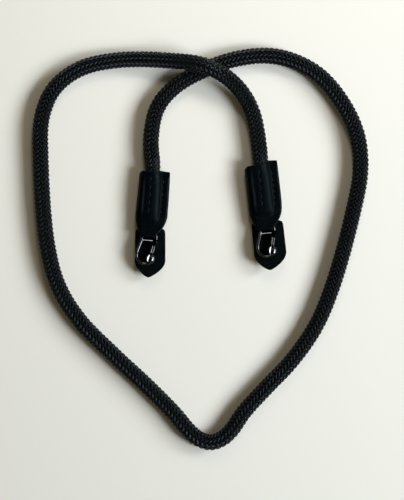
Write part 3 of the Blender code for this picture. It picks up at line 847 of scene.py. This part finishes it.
for side, end in ENDS.items():
    base = Matrix.Translation((*end["mouth"], 0.0)) @ Matrix.Rotation(radians(end["turn"]), 4, "Z")
    end["base"] = base @ Matrix.Scale(MM, 4)
    end["eye"] = (
        base
        @ Matrix.Translation((0.0, -EYE_STATION * MM, EYE_HEIGHT * MM))
        @ Matrix.Rotation(-radians(end["slope"]), 4, "X")
        @ Matrix.Scale(MM, 4)
    )
    bm = bmesh.new()
    # From the tongue back to the mouth on the outside, over the rounded rim, and down the inside to
    # the rope's end.
    to_rim = TONGUE_END - RIM_END
    levels = [(TONGUE_END - to_rim * k / OUTSIDE_RINGS, 0.0) for k in range(OUTSIDE_RINGS + 1)]
    levels += RIM
    for k in range(INSIDE_RINGS + 1):
        levels.append((RIM_END + LINING_LENGTH * k / INSIDE_RINGS, LEATHER))
    tube(bm, levels, lambda level, turn: sleeve_point(level[0], turn, end, level[1]))
    loop = add_loop(bm)
    bmesh.ops.translate(bm, vec=(0.0, -EYE_STATION, EYE_HEIGHT), verts=loop)
    bm = remeshed(f"{side}_sleeve_leather", bm, SLEEVE_VOXEL, SLEEVE_SMOOTHING)
    surface = BVHTree.FromBMesh(bm)
    stitches = bmesh.new()
    holes = []
    for row, start, pitch, count, length in STITCH_ROWS:
        across = row * end["breadth"]
        for k in range(count):
            at = start + pitch * k
            holes += [(across, -at), (across, -at - length)]
            for face in (1, -1):
                add_stitch(stitches, surface, across, at, length, face)
    draw_in(bm, holes)
    mark_cuts(bm, end["breadth"])
    bmesh.ops.transform(bm, matrix=end["base"], verts=bm.verts)
    sleeve = show(f"{side}_sleeve_leather", bm, leather, "strap")
    bmesh.ops.transform(stitches, matrix=end["base"], verts=stitches.verts)
    show(f"{side}_sleeve_thread", stitches, thread, "strap", 80.0)
    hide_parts(f"{side}_sleeve")


# ------------------------------------------------------------------ the guard flaps
# A tongue-shaped piece of black suede under each hook, which keeps the metal off the camera. It is
# cut with round top corners and a blunt point, its rims are rubbed round, and its root is sewn in
# under the sleeve's tongue.

FLAP_OUTLINE = (
    # from the root, and half the width there
    (0.0, 7.4),
    (0.2, 8.4),
    (0.7, 9.3),
    (1.5, 9.9),
    (2.8, 10.2),
    (9.0, 10.3),
    (18.0, 10.35),
    (22.0, 10.4),
    (24.5, 9.9),
    (26.6, 8.8),
    (28.6, 7.2),
    (30.4, 5.3),
    (32.0, 3.1),
    (33.2, 0.9),
    (33.4, 0.0),
)
FLAP_THICKNESS, FLAP_TOP, FLAP_ROOT = 1.7, -2.9, 4.3  # top and root as seen from the eye bar
FLAP_TIP_SKEW, FLAP_SKEW_START = -1.2, 20.0  # how far the point stands aside, and from where
FLAP_ROUNDING, FLAP_ROWS, FLAP_COLUMNS = 0.45, 70, 24
SHARP_ANGLE, LEVEL_EDGE, POINT_MERGE = 1.0, 0.1, 0.02  # radians, then mm

suede, tree, shader = finish("black_split_suede")
# The flesh side of a split hide, dyed black: a short, dense nap, which takes no gloss and shows as
# fine light and dark specks where the fibres lie in different ways. The fibres are drawn coarser
# than they are, so that they show.
NAP, NAP_DEPTH, NAP_PATCH = 0.35 * MM, 0.12 * MM, 5.0 * MM
place = add(tree, "ShaderNodeTexCoord")
nap = add(
    tree,
    "ShaderNodeTexNoise",
    {"Scale": 1 / NAP, "Detail": 3.0, "Roughness": 0.75},
    {"Vector": place.outputs["Object"]},
)
patches = add(
    tree,
    "ShaderNodeTexNoise",
    {"Scale": 1 / NAP_PATCH, "Detail": 2.0},
    {"Vector": place.outputs["Object"]},
)
specks = add(
    tree,
    "ShaderNodeMapRange",
    {"From Min": 0.42, "From Max": 0.75},
    {"Value": nap.outputs["Fac"]},
)
lie = add(
    tree,
    "ShaderNodeMath",
    {},
    {0: specks.outputs["Result"], 1: patches.outputs["Fac"]},
    operation="MULTIPLY",
)
dye = add(
    tree,
    "ShaderNodeMix",
    {6: linear("#010304"), 7: linear("#182025")},
    {0: lie.outputs[0]},
    data_type="RGBA",
)
bump = add(
    tree,
    "ShaderNodeBump",
    {"Strength": 0.8, "Distance": NAP_DEPTH},
    {"Height": nap.outputs["Fac"]},
)
tree.links.new(dye.outputs[2], shader.inputs["Base Color"])
tree.links.new(bump.outputs["Normal"], shader.inputs["Normal"])
shader.inputs["Roughness"].default_value = 0.9
shader.inputs["Specular IOR Level"].default_value = 0.03
shader.inputs["Sheen Weight"].default_value = 0.01
shader.inputs["Sheen Roughness"].default_value = 0.5
shader.inputs["Sheen Tint"].default_value = linear("#a9b8c0")

for side, end in ENDS.items():
    bm = bmesh.new()
    bmesh.ops.create_grid(bm, x_segments=FLAP_COLUMNS, y_segments=FLAP_ROWS, size=1.0)
    length = FLAP_OUTLINE[-1][0]
    for v in bm.verts:  # rows closer together towards the root and the point
        across, along = v.co.x, (1 - cos(pi * (1 - v.co.y) / 2)) / 2 * length
        skew = FLAP_TIP_SKEW * (max(0.0, along - FLAP_SKEW_START) / (length - FLAP_SKEW_START)) ** 2
        v.co = (skew + across * row_at(FLAP_OUTLINE, along)[1] * end["breadth"], -along, FLAP_TOP)
    bmesh.ops.remove_doubles(bm, verts=bm.verts, dist=POINT_MERGE)
    made = bmesh.ops.extrude_face_region(bm, geom=bm.faces[:])
    under = [g for g in made["geom"] if isinstance(g, bmesh.types.BMVert)]
    bmesh.ops.translate(bm, vec=(0.0, 0.0, -FLAP_THICKNESS), verts=under)
    bmesh.ops.recalc_face_normals(bm, faces=bm.faces)
    rims = [e for e in bm.edges if len(e.link_faces) == 2 and e.calc_face_angle() > SHARP_ANGLE]
    rims = [e for e in rims if abs(e.verts[0].co.z - e.verts[1].co.z) < LEVEL_EDGE]
    bmesh.ops.bevel(
        bm,
        geom=rims,
        offset=FLAP_ROUNDING,
        offset_type="OFFSET",
        segments=4,
        profile=0.5,
        affect="EDGES",
        material=-1,
        clamp_overlap=True,
    )
    root = Matrix.Translation((end["flap_shift"], FLAP_ROOT, 0.0))
    turn = root @ Matrix.Rotation(radians(end["flap_turn"]), 4, "Z")
    bmesh.ops.transform(bm, matrix=end["eye"] @ turn, verts=bm.verts)
    flap = show(f"{side}_flap_suede", bm, suede, "strap")
    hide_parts(f"{side}_flap")


# ------------------------------------------------------------------ the snap hooks
# A zinc casting plated in black nickel, one for each end: an eye bar that the leather is looped
# round, a cross-bar, a long spine, a round bottom, and a bulb-shaped nose with a slot for the
# gate's blade. Its sizes are in mm from the eye bar's middle.

BAR_RADIUS, CROSS_BAR_THICKER = 0.95, 0.1
EYE_HALF_WIDTH, EYE_CORNER, CROSS_BAR_DOWN = 4.75, 1.3, 4.1
BAR_FACET, BAR_FACET_FALL = 0.62, 0.27  # the flat's height over the bar's middle, and fall per mm
SPINE_TOP = (-5.2, -5.2)
BOTTOM_CENTRE, BOTTOM_RADIUS = (-1.25, -14.0), 6.35
BOTTOM_START, BOTTOM_END = 163.0, 58.0  # degrees, from the end of the spine to the nose
NOSE_CENTRE, NOSE_SIZE = (1.7, -16.7, 0.0), (3.4, 3.65, 2.6)
NOSE_FACET, NOSE_FACET_RISE, NOSE_FACET_START = 1.7, 0.5, 1.0  # height, rise per mm, from the gate
NOSE_GROOVE, NOSE_GROOVE_HALF, GROOVE_FLOOR_SHARE = 0.8, 0.6, 0.4
PIVOT, LUG_RADIUS, RIVET_HOLE = (4.3, -4.5, 0.0), 1.55, 0.85
GATE_LEAN = 12.9  # degrees
GATE_HALF, GATE_GAP = 0.95, 0.3
BLADE_END, BLADE_HALF = 10.6, 0.5
SLOT_START, SLOT_REACH = 7.0, 8.0
ROD_SIDES, EYE_CORNER_STEPS, BOTTOM_STEPS = 24, 8, 32
CASTING_VOXEL, CASTING_SMOOTHING = 0.12, 2
gate_place = Matrix.Translation(PIVOT) @ Matrix.Rotation(-radians(GATE_LEAN), 4, "Z")


def arc(centre, radius, start, end, steps):
    """Points on an arc in the plane of X and Y, its angles in degrees from +X towards +Y."""
    turns = [radians(start + (end - start) * k / steps) for k in range(steps + 1)]
    return [Vector((centre[0] + cos(t) * radius, centre[1] + sin(t) * radius, 0.0)) for t in turns]


def add_rod(bm, path, radius):
    """A round rod along a path in the plane of X and Y, with its ends closed."""
    ring = bmesh.ops.create_circle(bm, segments=ROD_SIDES, radius=1.0)["verts"]
    edges = edges_of(ring)
    bmesh.ops.contextual_create(bm, geom=edges)
    rings = [ring]
    for _ in path[1:]:
        ring, edges = next_ring(bm, edges)
        rings.append(ring)
    bmesh.ops.contextual_create(bm, geom=edges)
    for i, (point, ring) in enumerate(zip(path, rings)):
        back = (point - path[i - 1]).normalized() if i else None
        ahead = (path[i + 1] - point).normalized() if i + 1 < len(path) else None
        way = ((back or ahead) + (ahead or back)).normalized()
        side = Vector((-way.y, way.x, 0.0))
        stretch = 1.0 / side.dot(Vector((-ahead.y, ahead.x, 0.0))) if back and ahead else 1.0
        for v in ring:
            v.co = point + side * (v.co.x * radius * stretch) + Vector((0.0, 0.0, v.co.y * radius))
    return [v for ring in rings for v in ring]


def add_plate(bm, outline, low, high):
    """A flat outline in the plane of X and Y, made thick from low to high."""
    ring = bmesh.ops.create_circle(bm, segments=len(outline), radius=1.0, cap_ends=True)["verts"]
    ring.sort(key=lambda v: atan2(v.co.y, v.co.x) % (2 * pi))
    for v, at in zip(ring, outline):
        v.co = (at[0], at[1], low)
    made = bmesh.ops.extrude_face_region(bm, geom=faces_of(ring))["geom"]
    upper = [g for g in made if isinstance(g, bmesh.types.BMVert)]
    bmesh.ops.translate(bm, vec=(0.0, 0.0, high - low), verts=upper)
    return ring + upper


def add_round(bm, radius, depth, segments, place):
    """A plain round pin with closed ends."""
    bmesh.ops.create_cone(
        bm,
        cap_ends=True,
        segments=segments,
        radius1=radius,
        radius2=radius,
        depth=depth,
        matrix=Matrix.Translation(place),
    )


nickel, tree, shader = finish("black_nickel_plated_zinc")
# Zinc, die-cast, tumbled smooth and plated in black nickel: a dark mirror, in which the window
# shows as white glints and the dark leather round it leaves the rest nearly black.
shader.inputs["Base Color"].default_value = linear("#56595f")
shader.inputs["Metallic"].default_value = 1.0
shader.inputs["Roughness"].default_value = 0.12

for side, end in ENDS.items():
    bm = bmesh.new()
    w, r = EYE_HALF_WIDTH, EYE_CORNER
    path = [Vector((w, -CROSS_BAR_DOWN, 0.0))]
    path += arc((w - r, -r), r, 0.0, 90.0, EYE_CORNER_STEPS)
    path += arc((r - w, -r), r, 90.0, 180.0, EYE_CORNER_STEPS)
    path += [Vector((-w, BAR_RADIUS - CROSS_BAR_DOWN, 0.0)), Vector((*SPINE_TOP, 0.0))]
    path += arc(BOTTOM_CENTRE, BOTTOM_RADIUS, BOTTOM_START, 360.0 - BOTTOM_END, BOTTOM_STEPS)
    add_rod(bm, path, BAR_RADIUS)
    path = [Vector((-w, -CROSS_BAR_DOWN, 0.0)), Vector((PIVOT[0], -CROSS_BAR_DOWN, 0.0))]
    for v in add_rod(bm, path, BAR_RADIUS + CROSS_BAR_THICKER):
        v.co.z = min(v.co.z, BAR_FACET - BAR_FACET_FALL * (v.co.y + CROSS_BAR_DOWN))
    add_round(bm, LUG_RADIUS, 2 * BAR_RADIUS, 40, PIVOT)
    nose = bmesh.ops.create_uvsphere(
        bm,
        u_segments=96,
        v_segments=64,
        radius=1.0,
        matrix=Matrix.Translation(NOSE_CENTRE) @ Matrix.Diagonal((*NOSE_SIZE, 1.0)),
    )["verts"]
    for v in nose:  # a facet on the spine's side and a shallow groove along the gate, both on top
        aside = (gate_place.inverted() @ v.co).x
        if v.co.z > 0 and aside < 0:
            facet = NOSE_FACET - NOSE_FACET_RISE * (aside + NOSE_FACET_START)
            v.co.z = min(v.co.z, max(0.0, facet))
        if v.co.z > 0:
            floor = NOSE_GROOVE_HALF * GROOVE_FLOOR_SHARE
            v.co.z -= NOSE_GROOVE * (1 - eased(abs(aside), floor, NOSE_GROOVE_HALF))
    bm = remeshed("hook_casting", bm, CASTING_VOXEL, CASTING_SMOOTHING)
    casting = as_object("hook_casting", bm)
    # The slot in the nose, open towards the spine, and the rivet's hole are cut out.
    cutter = bmesh.new()
    reach, low = GATE_HALF + GATE_GAP, -BLADE_END - GATE_GAP
    outline = [(-SLOT_REACH, low), (reach, low), (reach, -SLOT_START), (-SLOT_REACH, -SLOT_START)]
    verts = add_plate(cutter, outline, -BLADE_HALF - GATE_GAP, BLADE_HALF + GATE_GAP)
    bmesh.ops.transform(cutter, matrix=gate_place, verts=verts)
    add_round(cutter, RIVET_HOLE, 6 * BAR_RADIUS, 32, PIVOT)
    bmesh.ops.recalc_face_normals(cutter, faces=cutter.faces)
    knife = as_object("hook_cutter", cutter)
    step = casting.modifiers.new("slot", "BOOLEAN")
    step.operation, step.solver, step.object = "DIFFERENCE", "EXACT", knife
    bm = applied(casting)
    bpy.data.objects.remove(knife)
    bmesh.ops.transform(bm, matrix=end["eye"], verts=bm.verts)
    hook = show(f"{side}_hook_casting", bm, nickel, f"{side}_hook", 30.0)
    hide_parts(f"{side}_hook")


# ------------------------------------------------------------------ the gates
# A small lever of the same plated metal, pressed to a channel and forked over the hook's lug on a
# rivet. A spring behind the rivet holds its flat blade in the nose's slot. Its sizes are in mm from
# the rivet.

RIVET_RADIUS, CHEEK_INNER, CHEEK_OUTER = 0.55, 1.25, 1.8
GATE_NECK, NECK_STEP = 2.0, 0.25  # where the cheeks join, and how far the neck steps back there
CHANNEL_START, CHANNEL_END, CHANNEL_HALF = 3.4, 8.5, 1.0
GATE_WEB, GATE_RIM = 0.45, 0.3  # half the web's thickness, and the radius of the rims at its sides
BLADE_ROOT, BLADE_STEP = 1.0, 0.125  # the blade's reach into the channel, and its step inwards
GATE_VOXEL, GATE_SMOOTHING = 0.1, 2


def gate_outline(half, top, bottom):
    """A plain rectangle down the gate's middle."""
    return [(-half, -top), (-half, -bottom), (half, -bottom), (half, -top)]


for side, end in ENDS.items():
    bm = bmesh.new()
    add_round(bm, RIVET_RADIUS, 2 * CHEEK_OUTER, 32, (0.0, 0.0, 0.0))
    neck = gate_outline(GATE_HALF, GATE_NECK, CHANNEL_START)
    cheek = [tuple(p.xy) for p in arc((0.0, 0.0), LUG_RADIUS, 0.0, 180.0, 20)] + neck
    add_plate(bm, cheek, CHEEK_INNER, CHEEK_OUTER)
    add_plate(bm, cheek, -CHEEK_OUTER, -CHEEK_INNER)
    add_plate(bm, neck, NECK_STEP - CHEEK_OUTER, CHEEK_OUTER - NECK_STEP)
    start = GATE_NECK + NECK_STEP
    add_plate(bm, gate_outline(CHANNEL_HALF, start, CHANNEL_END), -GATE_WEB, GATE_WEB)
    for rim in (-CHANNEL_HALF + GATE_RIM, CHANNEL_HALF - GATE_RIM):
        path = [Vector((rim, -start, 0.0)), Vector((rim, -CHANNEL_END, 0.0))]
        for v in add_rod(bm, path, GATE_RIM):
            v.co.z += copysign(CHANNEL_HALF - GATE_RIM, v.co.z)
    blade = gate_outline(GATE_HALF - BLADE_STEP, CHANNEL_END - BLADE_ROOT, BLADE_END)
    add_plate(bm, blade, -BLADE_HALF, BLADE_HALF)
    bm = remeshed("gate_lever", bm, GATE_VOXEL, GATE_SMOOTHING)
    bmesh.ops.transform(bm, matrix=end["eye"] @ gate_place, verts=bm.verts)
    gate = show(f"{side}_gate_lever", bm, nickel, f"{side}_gate", 30.0)
    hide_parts(f"{side}_gate")
